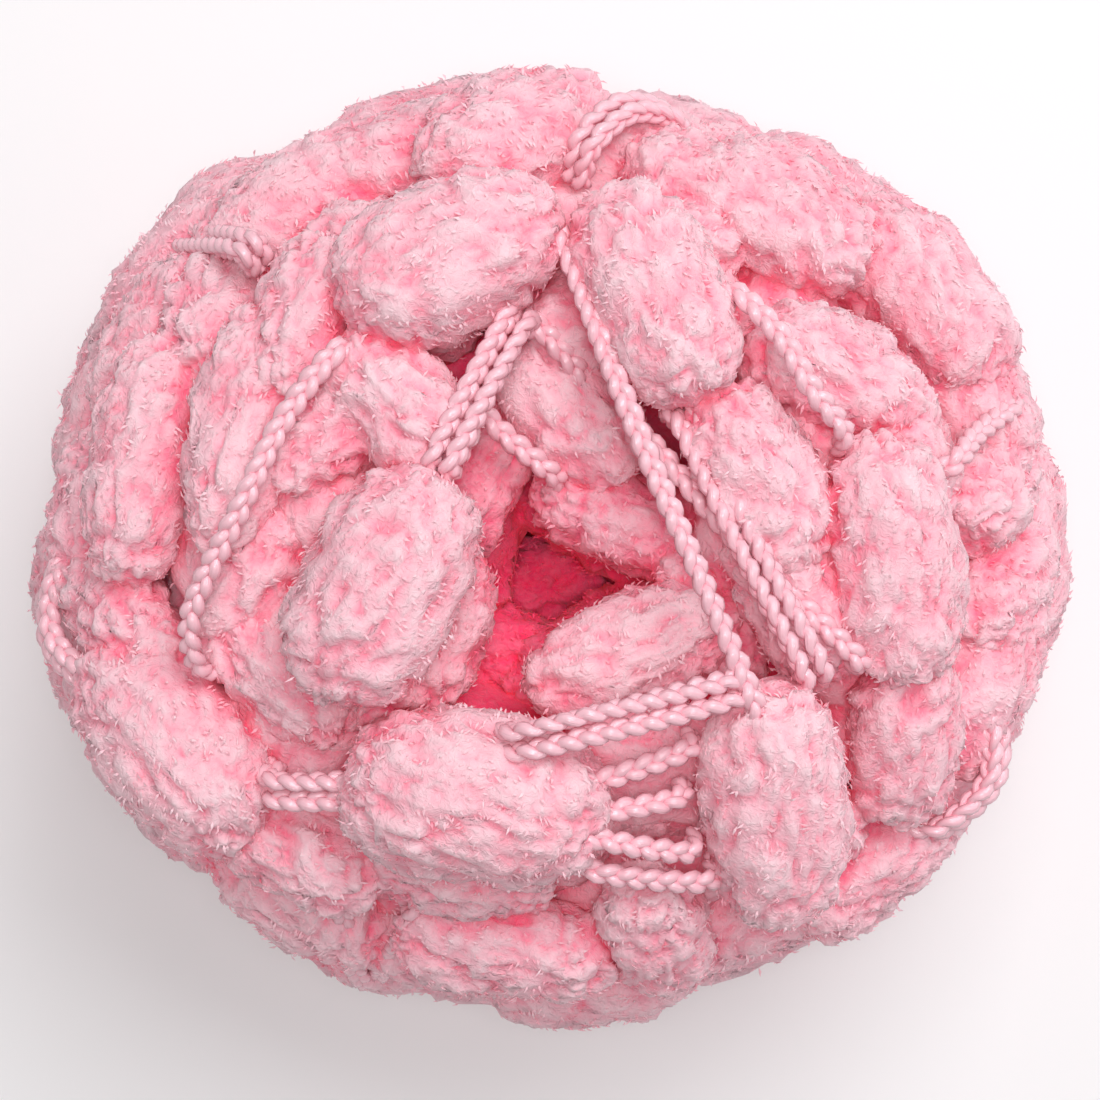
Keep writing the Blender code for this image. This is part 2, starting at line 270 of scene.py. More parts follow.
BETWEEN = (
    Pompom(0, 49, 26, 15, 5, -1),
    Pompom(13, 36, 22, 14, 20, -4),
    Pompom(41, 12, 22, 14, -75, -3),
    Pompom(28, -34, 22, 14, -20, -3),
    Pompom(-11, -37, 24, 14, -8, -3),
    Pompom(-12, -48, 25, 14, -12, -2),
    Pompom(-46, -24, 24, 14, -55, -2),
    Pompom(-35, -4, 22, 13, 60, -3),
    Pompom(-21, 36, 22, 14, -30, -4),
)

CORDS = (
    Cord(1, ((0, 35, 4), (10, 10, 6), (20, -14, 8))),
    Cord(2, ((15, 14, 1), (21, 0, 4), (27, -12, 5))),
    Cord(1, ((11, 12, -1), (21, 0, 1), (32, -11, 4))),
    Cord(2, ((-4, 24, 2), (-11, 10, 5))),
    Cord(1, ((-22, 20, 6), (-27, 13, 7), (-31, 4, 8), (-36, -6, 7), (-37, -12, 4))),
    Cord(2, ((-3, -19, 9), (5, -17, 10), (18, -14, 8))),
    Cord(1, ((4, -24, 5), (14, -21, 4))),
    Cord(1, ((4, -27, 5), (13, -26, 4))),
    Cord(1, ((4, -29, 6), (14, -31, 5))),
    Cord(1, ((5, -33, 5), (16, -34, 5))),
    Cord(2, ((4, 43, 4), (8, 45, 6), (13, 46, 4))),
    Cord(1, ((19, 26, 6), (23, 21, 8), (26, 16, 8), (30, 12, 6))),
    Cord(1, ((42, 9, 5), (45, 12, 4), (49, 15, 5))),
    Cord(2, ((-43, 34, 4), (-32, 31, 6))),
    Cord(2, ((-52, -2, 5), (-51, -9, 7), (-47, -14, 5))),
    Cord(2, ((-29, -25, 4), (-21, -25, 4))),
    Cord(1, ((-23, -38, 0), (-23, -44, 2), (-21, -49, 3))),
    Cord(1, ((-14, -38, 0), (-17, -44, 1), (-20, -49, 2))),
    Cord(1, ((-9, 17, -3), (-5, 13, -4), (0, 9, -6))),
    Cord(1, ((-2, 26, -2), (3, 21, -4))),
    Cord(2, ((47, -17, 4), (45, -23, 7), (41, -29, 5))),
)
print("cords that the picture shows", len(CORDS))

# %% Places and sizes of all pompoms
POMPOM_LENGTH = 29.0
POMPOM_WIDTH = 18.0
POMPOM_FULLNESS = 2.5
POMPOM_FLATNESS = 0.92
SPIRAL_POMPOMS = 46
SPIRAL_TOP = 0.16
GOLDEN_TURN = math.pi * (3 - math.sqrt(5))
LEANS = np.array([58.0, 128.0])
LEAN_SWAY = 14
SIZE_SWAY = 0.07
LIFT_SWAY = 0.8
SEAT_STEPS = 400
OLDER_POMPOMS = 76
OLDER_SHRINK = 0.8
HOLLOW_RADIUS = 17.0

Pile = namedtuple("Pile", "centre axes half")


def laid(points, turn, lift, length, width):
    """Pompoms on the seat: centres, axes (along the cord, across, outwards) and half sizes."""
    out = seat_normal(points)
    angle = np.radians(turn)
    heading = np.stack([np.cos(angle), np.sin(angle), np.zeros_like(angle)], axis=-1)
    along = unit(heading - np.sum(heading * out, axis=-1, keepdims=True) * out)
    axes = np.stack([along, np.cross(out, along), out], axis=1)
    half = np.stack([length, width, width * POMPOM_FLATNESS], axis=-1) / 2
    return Pile(points + lift[:, None] * out, axes, half)


def placed_pompoms():
    """The pompoms of the tables."""
    rows = np.array(HOLLOW_RIM + HOLLOW_WALL + SHOULDER + WIDEST + BETWEEN, float)
    east, north, length, width, turn, lift = rows.T
    return laid(seat_point(east, north), turn, lift, length, width)


def covered_area(radii, steps):
    """How much surface of a turned shape lies before each point of its outline.

    The sum of step x mean radius, which leaves out the constant 2 pi.
    """
    return np.concatenate([[0], np.cumsum(steps * (radii[1:] + radii[:-1]) / 2)])


def spiral_pompoms(count, top, shrink):
    """Pompoms that share the seat equally from a height down to the bottom, a golden turn apart.

    Their leans, sizes and lifts sway with sines of their number, so no two are alike.
    """
    downs = np.linspace(-top, 1, SEAT_STEPS)
    radii = superellipse(downs, SEAT_ROUNDNESS)
    covered = covered_area(radii, np.hypot(np.diff(radii) * SEAT[0], np.diff(downs) * SEAT[2]))
    i = np.arange(count)
    down = np.interp(covered[-1] * (i + 1) / count, covered, downs)
    share = superellipse(down, SEAT_ROUNDNESS)
    bearing = i * GOLDEN_TURN
    points = np.stack([share * np.cos(bearing), share * np.sin(bearing), -down], axis=-1) * SEAT
    turn = np.degrees(bearing) + LEANS[i % 2] + LEAN_SWAY * np.sin(3.1 * i)
    size = 1 + SIZE_SWAY * np.sin(1.7 * i)
    lift = LIFT_SWAY * np.sin(2.3 * i)
    return laid(points * shrink, turn, lift, POMPOM_LENGTH * size, POMPOM_WIDTH * size)


def older_pompoms():
    """The layer below, all the way round but for the hollow."""
    pile = spiral_pompoms(OLDER_POMPOMS, 1.0, OLDER_SHRINK)
    radius = np.hypot(pile.centre[:, 0], pile.centre[:, 1])
    kept = (pile.centre[:, 2] < 0) | (radius > HOLLOW_RADIUS + pile.half[:, 1])
    return Pile(*(part[kept] for part in pile))


placed = placed_pompoms()
spiral = spiral_pompoms(SPIRAL_POMPOMS, SPIRAL_TOP, 1.0)
older = older_pompoms()
pompoms = Pile(*(np.concatenate(parts) for parts in zip(placed, spiral, older)))
NEWER = len(placed.centre) + len(spiral.centre)
print("pompoms", len(pompoms.centre), "of which", NEWER, "in the outer layer")

# %% [markdown]
# ## Noise
#
# Pile is never even. Smooth noise makes the tufts, the swirls and the lumps: every corner of a
# grid of cells gets a random value, and points between the corners blend the values of the
# eight around them. It works on whole arrays, so a hundred thousand points take a moment.

# %% Smooth noise
HASH_WAVE = (12.9898, 78.233, 37.719)
HASH_SCALE = 43758.5453
SWIRL_SIZE = 3.3
SWIRL_REACH = 1.4
BILLOW_STEEPNESS = 2.4
COARSE_TUFT = 2.7
COARSE_SHARE = 0.6
FINE_TUFT = 1.25
FINE_SHARE = 0.4
FINE_SHIFT = 9
VECTOR_SHIFTS = (0, 31.7, 67.3)


def hashed(cells):
    """A repeatable random number from 0 to 1 for each cell, the fraction of a large sine."""
    return np.modf(np.abs(np.sin(cells @ HASH_WAVE) * HASH_SCALE))[0]


def noise(points):
    """Smooth noise from -1 to 1 with one bump to a cell."""
    cell = np.floor(points)
    part = points - cell
    ease = part * part * (3 - 2 * part)
    total = 0
    for corner in np.array(list(itertools.product((0.0, 1.0), repeat=3))):
        weight = np.prod(corner * ease + (1 - corner) * (1 - ease), axis=-1)
        total = total + weight * hashed(cell + corner)
    return 2 * total - 1


def noise_vectors(points):
    """Three noises side by side, as a field of directions."""
    return np.stack([noise(points + shift) for shift in VECTOR_SHIFTS], axis=-1)


def swirled(points):
    """Points pushed about by a broad noise, so that what is drawn at them swirls."""
    return points + SWIRL_REACH * noise_vectors(points / SWIRL_SIZE)


def billow(values):
    """Rounded tops from 0 in a crease to 1, since |noise| turns sharply where noise is 0."""
    return np.minimum(1, BILLOW_STEEPNESS * np.abs(values))


def tufts(points):
    """Matted pile from 0 in a parting to 1 on a tuft: coarse tufts with finer ones on them."""
    place = swirled(points)
    coarse = billow(noise(place / COARSE_TUFT))
    fine = billow(noise(place / FINE_TUFT + FINE_SHIFT))
    return COARSE_SHARE * coarse + FINE_SHARE * fine


sample = tufts(np.linspace((0, 0, 0), (40, 30, 20), 1000))
print("tufts along a line: from", sample.min().round(2), "to", sample.max().round(2))

# %% [markdown]
# ## Closed tubes
#
# Pompom bodies, locks of pile and strands of cord are all the same thing to a mesh: rings of
# points along a path, with the two ends closed. One function joins the rings of many such tubes
# at once and puts them into a single mesh, because sixty thousand objects would be far too
# slow. Each corner carries a number of painted shade for the materials, and each face has
# texture places that count turns about the tube and rings along it.

# %% Many tubes in one mesh
RISE = np.array([0, 0, MIDDLE_HEIGHT])
PRESSED_BELOW = 2


def tube_faces(rings, sides):
    """Quads between the rings and a fan at each pole, for one tube.

    The corners are numbered pole, rings in order, pole.
    """
    ring = 1 + np.arange(rings * sides).reshape(rings, sides)
    after = np.roll(ring, -1, axis=1)
    quads = np.stack([ring[:-1], after[:-1], after[1:], ring[1:]], axis=-1).reshape(-1, 4)
    last = rings * sides + 1
    start = np.stack([np.zeros(sides, int), after[0], ring[0]], axis=-1)
    end = np.stack([np.full(sides, last), ring[-1], after[-1]], axis=-1)
    return quads, np.concatenate([start, end])


def with_poles(start, rings, end):
    """Corners of each tube in order, from starts (tube, 3), rings (tube, ring, side, 3), ends."""
    return np.concatenate([start[:, None], rings.reshape(len(rings), -1, 3), end[:, None]], axis=1)


def tube_uv(rings, sides):
    """Texture places of the face corners of one tube: share of a turn, and rings along it."""
    column, ring = np.meshgrid(np.arange(sides), np.arange(rings - 1))
    u = np.stack([column, column + 1, column + 1, column], axis=-1) / sides
    v = np.stack([ring, ring, ring + 1, ring + 1], axis=-1)
    quads = np.stack([u, v], axis=-1).reshape(-1, 2)
    column = np.arange(sides)
    start = np.stack([column + 0.5, column + 1, column], axis=-1) / sides
    end = np.stack([column + 0.5, column, column + 1], axis=-1) / sides
    start = np.stack([start, np.tile((-1, 0, 0), (sides, 1))], axis=-1)
    end = np.stack([end, np.tile((rings, rings - 1, rings - 1), (sides, 1))], axis=-1)
    return quads, np.concatenate([start.reshape(-1, 2), end.reshape(-1, 2)])


def rested(corners):
    """Corners pressed up from the floor: a height z below p becomes p e^((z - p) / p)."""
    height = corners[..., 2:]
    low = np.minimum(height, PRESSED_BELOW)
    squeezed = PRESSED_BELOW * np.exp((low - PRESSED_BELOW) / PRESSED_BELOW)
    height = np.where(height < PRESSED_BELOW, squeezed, height)
    return np.concatenate([corners[..., :2], height], axis=-1)


def tubes_object(name, groups, sides, material, smooth=True):
    """Many closed tubes as one object.

    A group is a pair of arrays for tubes of one length, with the corners' places
    (tube, corner, 3) in millimetres and their numbers of painted shade (tube, corner).
    """
    places, depths, quads, fans, quad_uv, fan_uv = [], [], [], [], [], []
    used = 0
    for corners, painted_shade in groups:
        tubes, each = corners.shape[:2]
        rings = (each - 2) // sides
        shift = used + (np.arange(tubes) * each)[:, None, None]
        used += tubes * each
        places.append(rested(corners + RISE).reshape(-1, 3))
        depths.append(painted_shade.ravel())
        for kept, faces in zip((quads, fans), tube_faces(rings, sides)):
            kept.append((faces + shift).reshape(-1, faces.shape[1]))
        for kept, uv in zip((quad_uv, fan_uv), tube_uv(rings, sides)):
            kept.append(np.tile(uv, (tubes, 1)))
    quads, fans = np.concatenate(quads), np.concatenate(fans)
    loops = np.concatenate([quads.ravel(), fans.ravel()])
    sizes = np.repeat((4, 3), (len(quads), len(fans)))
    mesh = bpy.data.meshes.new(name)
    mesh.vertices.add(used)
    mesh.vertices.foreach_set("co", (np.concatenate(places) * MM).astype(np.float32).ravel())
    mesh.loops.add(len(loops))
    mesh.loops.foreach_set("vertex_index", loops.astype(np.int32))
    mesh.polygons.add(len(sizes))
    mesh.polygons.foreach_set("loop_start", (np.cumsum(sizes) - sizes).astype(np.int32))
    mesh.polygons.foreach_set("use_smooth", np.full(len(sizes), smooth))
    # Each corner's number of painted shade, which the material's ramp reads.
    layer = mesh.attributes.new("painted_shade", "FLOAT", "POINT")
    layer.data.foreach_set("value", np.concatenate(depths).astype(np.float32))
    layer = mesh.uv_layers.new(name="along")
    layer.uv.foreach_set("vector", np.concatenate(quad_uv + fan_uv).astype(np.float32).ravel())
    mesh.update(calc_edges=True)
    mesh.materials.append(material)
    thing = bpy.data.objects.new(name, mesh)
    bpy.context.scene.collection.objects.link(thing)
    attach(thing, "root")
    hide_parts("yarn_ball")
    print(name, 2 * len(quads) + len(fans), "triangles")
    return thing


print("a tube with one ring of three has", len(tube_faces(1, 3)[1]), "triangles")

# %% [markdown]
# ## Yarn colours
#
# The yarn is one pale pink throughout. Light that reaches a gap has bounced from pink to pink
# several times, and each bounce takes more green than red, so the gaps glow salmon and the open
# middle looks crimson. Tracing that in full would need light inside every fibre, so that shade is
# painted into the colour instead: a number on each corner runs from 0, hidden, to 1, open, and a
# colour ramp turns it into painted crimson or rose shade, or the yarn's own pale pink, mottled by
# fine noise. The bare cord is smoother than the pile, so it shines.

# %% Pile and cord materials
MOTTLE = 0.45
SHEEN_ROUGHNESS = 0.5
SHEEN_TINT = (0.95, 0.9, 0.94, 1)
NOISE_DETAIL = 3
NOISE_ROUGHNESS = 0.65
NOISE_DISTORTION = 0.8
BUMP_STRENGTH = 0.7


def ramp_node(nodes, stops):
    """A colour ramp with the given stops, pairs of a position and a colour."""
    node = nodes.new("ShaderNodeValToRGB")
    elements = node.color_ramp.elements
    while len(elements) < len(stops):
        elements.new(0.5)
    for element, (position, colour) in zip(elements, stops):
        element.position = position
        element.color = (*colour, 1)
    return node


def fibre_noise(nodes, links, fibre):
    """Fine noise, drawn at the texture place of the tubes times fibre, a pair of counts.

    If fibre is one size in millimetres, it is drawn at the place in the object instead.
    """
    place = nodes.new("ShaderNodeTexCoord")
    scale = nodes.new("ShaderNodeMapping")
    fine = nodes.new("ShaderNodeTexNoise")
    fine.inputs["Scale"].default_value = 1
    fine.inputs["Detail"].default_value = NOISE_DETAIL
    fine.inputs["Roughness"].default_value = NOISE_ROUGHNESS
    if isinstance(fibre, tuple):
        scale.inputs["Scale"].default_value = (*fibre, 1)
        links.new(place.outputs["UV"], scale.inputs["Vector"])
    else:
        scale.inputs["Scale"].default_value = (1 / (fibre * MM),) * 3
        fine.inputs["Distortion"].default_value = NOISE_DISTORTION
        links.new(place.outputs["Object"], scale.inputs["Vector"])
    links.new(scale.outputs["Vector"], fine.inputs["Vector"])
    return fine


def yarn_material(name, stops, roughness, sheen, fibre, bump_depth, gloss=0.5):
    """A Principled material: a ramp colours the number of painted shade that each corner carries.

    Fine noise is added to the number, which mottles the colour, and it is a bump too.
    """
    material = bpy.data.materials.new(name)
    material.use_nodes = True
    nodes = material.node_tree.nodes
    links = material.node_tree.links
    shader = nodes["Principled BSDF"]
    shader.inputs["Roughness"].default_value = roughness
    shader.inputs["Specular IOR Level"].default_value = gloss
    shader.inputs["Sheen Weight"].default_value = sheen
    shader.inputs["Sheen Roughness"].default_value = SHEEN_ROUGHNESS
    shader.inputs["Sheen Tint"].default_value = SHEEN_TINT

    fine = fibre_noise(nodes, links, fibre)
    bump = nodes.new("ShaderNodeBump")
    bump.inputs["Strength"].default_value = BUMP_STRENGTH
    bump.inputs["Distance"].default_value = bump_depth * MM
    links.new(fine.outputs["Fac"], bump.inputs["Height"])
    links.new(bump.outputs["Normal"], shader.inputs["Normal"])

    reader = nodes.new("ShaderNodeAttribute")
    reader.attribute_name = "painted_shade"
    mottled = nodes.new("ShaderNodeMath")
    mottled.operation = "MULTIPLY_ADD"
    mottled.inputs[1].default_value = MOTTLE
    ramp = ramp_node(nodes, stops)
    links.new(fine.outputs["Fac"], mottled.inputs[0])
    links.new(reader.outputs["Fac"], mottled.inputs[2])
    links.new(mottled.outputs["Value"], ramp.inputs["Fac"])
    links.new(ramp.outputs["Color"], shader.inputs["Base Color"])
    return material


# Painted shade: the crimson and rose stops colour hidden gaps and the open middle; the pale pink
# at 1 is the yarn's own colour.
PILE_STOPS = (
    (0.0, (0.98, 0.0291, 0.144)),
    (0.3, (0.9604, 0.1746, 0.288)),
    (0.65, (0.9212, 0.4753, 0.552)),
    (1.0, (0.9016, 0.679, 0.72)),
)
# Painted shade: the deeper rose at 0 colours the creases between strands; the stop at 0.8 is the
# cord's own pink.
CORD_STOPS = (
    (0.0, (0.9016, 0.194, 0.288)),
    (0.8, (0.9212, 0.5335, 0.6048)),
)
pile_material = yarn_material(
    "pink_pile", PILE_STOPS, roughness=0.9, sheen=0.13, fibre=1.1, bump_depth=0.6
)
lock_material = yarn_material(
    "pink_locks", PILE_STOPS, roughness=0.9, sheen=0.13, fibre=1.1, bump_depth=0.2
)
cord_material = yarn_material(
    "pink_cord", CORD_STOPS, roughness=0.24, sheen=0, fibre=(14, 0.3), bump_depth=0.2, gloss=0.9
)
print("materials", pile_material.name, lock_material.name, cord_material.name)

# %% [markdown]
# ## Pompom bodies
#
# A pompom is cut pile caught in the plait, so it has no skin, but its fibres mat together into
# tufts, and under them it is too dense to see into. A closed barrel stands for that: a
# superellipse turned about the cord, which is fuller than an ellipsoid. Sculpting would give
# tufts by hand for one pompom, but there are 180, so noise moves the corners in and out. Where
# the absolute value of a noise is taken, it makes round tufts with sharp partings. The barrel
# is a little smaller than the solid's, which leaves room for the tufts.

# %% Barrel shapes
PILE_DEPTH = 0.7
OPEN_GAP = 9.0
NEIGHBOUR_REACH = 6
ROOM_HEIGHT = 3
ROOM_SLACK = 0.5
ROOM_RANGE = 4
OUTER_START = 0.4
OUTER_RANGE = 0.5

base_half = pompoms.half - PILE_DEPTH


def barrel_local(along, around, half):
    """Points of a barrel: along = -1 to 1 of its half length, around = angle about its axis.

    The radius is the superellipse share at that place along, times each half width.
    """
    radius = superellipse(along, POMPOM_FULLNESS)
    shape = np.stack([along, radius * np.cos(around), radius * np.sin(around)], axis=-1)
    return shape * half


def barrel_normal(local, half):
    """Outward directions of a barrel, the gradient of (|x|^n + radius^n) in shares of its half."""
    share = local / half
    radius = np.maximum(np.hypot(share[..., 1], share[..., 2]), 1e-6)
    pull = radius ** (POMPOM_FULLNESS - 2)
    tip = np.sign(share[..., 0]) * np.abs(share[..., 0]) ** (POMPOM_FULLNESS - 1)
    return unit(np.stack([tip, pull * share[..., 1], pull * share[..., 2]], axis=-1) / half)


def to_world(local, axes):
    """Local (along, across, out) vectors turned into east, north and up."""
    return np.einsum("...i,...ij->...j", local, axes)


def clearance(points, owner):
    """Millimetres from each point to the nearest other barrel's surface, below 0 inside one."""
    nearest = np.full(len(points), OPEN_GAP)
    for k in range(len(pompoms.centre)):
        away = points - pompoms.centre[k]
        close = (np.abs(away).max(axis=1) < pompoms.half[k, 0] + NEIGHBOUR_REACH) & (owner != k)
        share = (away[close] @ pompoms.axes[k].T) / base_half[k]
        radius = np.hypot(share[:, 1], share[:, 2])
        power = np.abs(share[:, 0]) ** POMPOM_FULLNESS + radius**POMPOM_FULLNESS
        reach = power ** (1 / POMPOM_FULLNESS)
        nearest[close] = np.minimum(nearest[close], (reach - 1) * base_half[k, 1])
    return nearest


def room_above(points, normals, owner):
    """0 where another pompom lies on the surface, to 1 where the place above it is free."""
    gap = clearance(points + ROOM_HEIGHT * normals, owner)
    return np.clip((gap + ROOM_SLACK) / ROOM_RANGE, 0, 1)


def outerness(points):
    """0 deep in the ball to 1 near its outside."""
    return np.clip((seat_share(points) - OUTER_START) / OUTER_RANGE, 0, 1)


print("barrels", len(base_half), "up to", 2 * base_half.max().round(1), "mm long")

# %% Pompom bodies
LUMP_SIZE = 5.2
LUMP_HEIGHT = 0.45
TUFT_HEIGHT = 1.6
TUFT_LEVEL = 0.7
OUTWARD_CROWDING = 0.5
# Painted shade: the ramp number rises where the ball is open, where nothing lies above, and on the
# tops of tufts.
SHADE_BASE = 0.21
SHADE_OUTER = 0.2
SHADE_ROOM = 0.2
SHADE_TUFT = 0.1
SHADE_OUTER_TUFT = 0.34
AROUND_HOLLOW = len(HOLLOW_RIM + HOLLOW_WALL + SHOULDER)


def matted(places, normals):
    """Places moved along their normals to the lumps and tufts, and how high in a tuft each is."""
    tuft = tufts(places)
    rise = LUMP_HEIGHT * noise(places / LUMP_SIZE) + TUFT_HEIGHT * (tuft - TUFT_LEVEL)
    return places + rise[..., None] * normals, tuft


def shade(room, outer, tuft):
    """The painted shade number that the colour ramp reads: lower deep in the ball, where another
    pompom lies above, and in the partings between tufts.
    """
    open_part = SHADE_OUTER * outer + SHADE_ROOM * room * outer
    return open_part + (SHADE_TUFT + SHADE_OUTER_TUFT * outer) * tuft - SHADE_BASE


def body_corners(chosen, rings, sides):
    """Tufted barrels of the chosen pompoms, with their painted shade.

    The angle is t + c cos t, which crowds the columns on the side that faces out of the ball.
    """
    turn = np.arange(1, rings + 1) * math.pi / (rings + 1) - math.pi / 2
    along = np.sign(np.sin(turn)) * np.abs(np.sin(turn)) ** (2 / POMPOM_FULLNESS)
    around = np.arange(sides) * 2 * math.pi / sides
    around = around + OUTWARD_CROWDING * np.cos(around)
    along, around = np.meshgrid(along, around, indexing="ij")
    half = base_half[chosen][:, None, None]
    axes = pompoms.axes[chosen]
    ring = barrel_local(along[None], around[None], half)
    tips = half[:, 0] * np.array([[-1.0, 0, 0]])
    local = with_poles(tips[:, 0], ring, -tips[:, 0])
    normals = to_world(barrel_normal(local, half[:, 0]), axes[:, None])
    world = to_world(local, axes[:, None]) + pompoms.centre[chosen][:, None]
    owner = np.repeat(chosen, world.shape[1])
    room = room_above(world.reshape(-1, 3), normals.reshape(-1, 3), owner)
    outer = outerness(world)
    world, tuft = matted(world, normals)
    return world, shade(room.reshape(world.shape[:2]), outer, tuft)


is_older = np.arange(len(pompoms.centre)) >= NEWER
for name, chosen, rings, sides in (
    ("bodies_1", np.arange(AROUND_HOLLOW), 42, 58),
    ("bodies_2", np.arange(AROUND_HOLLOW, len(placed.centre)), 42, 58),
    ("bodies_3", np.arange(len(placed.centre), NEWER), 30, 40),
    ("older_bodies_1", np.flatnonzero(is_older & (pompoms.centre[:, 2] > 0)), 24, 32),
    ("older_bodies_2", np.flatnonzero(is_older & (pompoms.centre[:, 2] <= 0)), 16, 20),
):
    tubes_object(name, [body_corners(chosen, rings, sides)], sides, pile_material)

# %% [markdown]
# ## The core
#
# Between the pompoms one looks into the ball, where more turns of the same yarn lie in the
# dark. None of them can be told apart, so a plain turned shape stands for them. It follows the
# seat 11 mm further in and sinks into a hollow under the open middle.

# %% The core
CORE_DEPTH = 11.0
HOLLOW_DEPTH = 32.0
HOLLOW_STEEPNESS = 4
CORE_RINGS = 47
CORE_SHADE = -0.1


def core_corners():
    """A turned outline: an inner seat whose top sinks by h e^-((radius / r)^4) into a hollow."""
    angle = np.arange(CORE_RINGS + 2) * math.pi / (CORE_RINGS + 1)
    swing = np.abs(np.cos(angle)) ** (2 / SEAT_ROUNDNESS)
    out = (SEAT[0] - CORE_DEPTH) * np.sin(angle).clip(0) ** (2 / SEAT_ROUNDNESS)
    sunk = HOLLOW_DEPTH * np.exp(-((out / HOLLOW_RADIUS) ** HOLLOW_STEEPNESS))
    up = np.where(angle < math.pi / 2, 1, -1) * (SEAT[2] - CORE_DEPTH) * swing
    up = np.where(angle < math.pi / 2, up - sunk, up)
    turn = -np.arange(CORE_RINGS + 1) * 2 * math.pi / (CORE_RINGS + 1)
    east = out[:, None] * np.cos(turn)
    north = out[:, None] * np.sin(turn) * SEAT[1] / SEAT[0]
    rings = np.stack([east, north, np.repeat(up[:, None], len(turn), axis=1)], axis=-1)
    return with_poles(rings[:1, 0], rings[None, 1:-1], rings[-1:, 0])


corners = core_corners()
# Painted shade: the core's number lies below the ramp's first stop, so it is coloured deep
# crimson, as the dark inside of the ball.
painted_shade = np.full(corners.shape[:2], CORE_SHADE)
tubes_object("core", [(corners, painted_shade)], CORE_RINGS + 1, pile_material)

# %% [markdown]
# ## Pile
#
# On the tufts stands a short nap of fibre ends, which blurs every edge. Each lock here is a
# closed spindle of six triangles, a bundle of many fibres: it leaves the body at a slant and
# bends over in the second half. Its upper face is flat, so it takes light much as the tuft
# under it does. Smooth noises lay the nap in swirls. Simulated hair would look alike, but it
# cannot be exported, and it would be far heavier.

# %% Roots of the locks
LOCKS_ABOVE = 90000
LOCKS_BELOW = 55000
UPPER_LEVEL = -6
BARREL_STEPS = 200
BARREL_SLIMNESS = 1.6
ANGLE_SCATTER = 0.06
DEEPEST_ROOT = -0.4
LEAST_ROOM = 0.08
SEED = 7

rng = np.random.default_rng(SEED)


def root_places(chosen, total):
    """Even places on the chosen barrels: owner, place along and angle around.

    Each barrel gets a share of the total by its surface. Along it, places share the area
    equally, and each is a golden turn on from the one before.
    """
    half = base_half[chosen]
    surface = half[:, 0] * half[:, 1]
    counts = np.round(total * surface / surface.sum()).astype(int)
    owner = np.repeat(chosen, counts)
    i = np.arange(counts.sum()) - np.repeat(np.cumsum(counts) - counts, counts)
    stops = np.sin(np.linspace(-math.pi / 2, math.pi / 2, BARREL_STEPS))
    radii = superellipse(stops, POMPOM_FULLNESS)
    covered = covered_area(radii, np.hypot(np.diff(radii) / BARREL_SLIMNESS, np.diff(stops)))
    share = (i + rng.random(len(i))) / np.repeat(counts, counts)
    along = np.interp(share * covered[-1], covered, stops)
    around = i * GOLDEN_TURN + rng.normal(0, ANGLE_SCATTER, len(i))
    return owner, along, around


def open_roots(chosen, total):
    """Roots that nothing lies on: place, outward direction and room above."""
    owner, along, around = root_places(chosen, total)
    local = barrel_local(along, around, base_half[owner])
    normals = to_world(barrel_normal(local, base_half[owner]), pompoms.axes[owner])
    places = to_world(local, pompoms.axes[owner]) + pompoms.centre[owner]
    room = room_above(places, normals, owner)
    kept = (clearance(places, owner) > DEEPEST_ROOT) & (room > LEAST_ROOM)
    return places[kept], normals[kept], room[kept]


upper = np.flatnonzero((pompoms.centre[:, 2] > UPPER_LEVEL) & ~is_older)
lower = np.setdiff1d(np.arange(len(pompoms.centre)), upper)
roots = [
    np.concatenate(parts)
    for parts in zip(open_roots(upper, LOCKS_ABOVE), open_roots(lower, LOCKS_BELOW))
]
print("locks above", int((roots[0][:, 2] > 0).sum()), "of", len(roots[0]))

# %% Locks
LOCK_LENGTH = 1.05
LOCK_WIDTH = 0.35
LOCK_FLATNESS = 0.6
LENGTH_SPREAD = 0.2
WIDTH_RANGE = (0.7, 1.3)
NAP_SIZE = 5.0
FINE_NAP_SIZE = 1.6
FINE_NAP_SHARE = 0.7
WILDNESS = 0.35
ROOT_DEPTH = 0.3
NUDGE = 0.01
SHADE_SCATTER = 0.03
# Painted shade along a lock: root, bend and tip, darker down in the pile.
LOCK_SHADES = (-0.06, 0.02, 0.05)
PILE_PIECES = 4


def flattened(vectors, normals):
    """The part of each vector that runs along the surface."""
    return vectors - np.sum(vectors * normals, axis=1, keepdims=True) * normals


def lock_corners(places, normals):
    """Bent spindles: a root below the surface, a ring of three at the bend, and a tip.

    The ring is turned so that one face lies flat on top. The small nudge keeps the cross
    product from vanishing where a lock runs straight along the normal.
    """
    wild = rng.normal(0, 1, places.shape)
    fine_nap = noise_vectors(swirled(places) / FINE_NAP_SIZE)
    nap = noise_vectors(places / NAP_SIZE) + FINE_NAP_SHARE * fine_nap
    lean = unit(flattened(nap, normals)) + WILDNESS * flattened(wild, normals)
    length = LOCK_LENGTH * (1 + LENGTH_SPREAD * wild[:, :1]).clip(0.5, 1.5)
    surface, tuft = matted(places, normals)
    root = surface - ROOT_DEPTH * normals
    bend = root + 0.5 * length * unit(0.6 * normals + 0.8 * lean)
    tip = bend + 0.5 * length * unit(0.25 * normals + 0.95 * lean)
    width = LOCK_WIDTH * rng.uniform(*WIDTH_RANGE, (len(root), 1))
    ahead = unit(tip - root)
    side = unit(np.cross(ahead, normals + NUDGE))
    other = np.cross(ahead, side)
    angle = (np.arange(3) + 0.75) * 2 * math.pi / 3
    ring = (
        bend[:, None]
        + width[:, None] / 2 * np.cos(angle)[:, None] * side[:, None]
        + width[:, None] / 2 * LOCK_FLATNESS * np.sin(angle)[:, None] * other[:, None]
    )
    return with_poles(root, ring[:, None], tip), tuft


places, normals, room = roots
corners, tuft = lock_corners(places, normals)
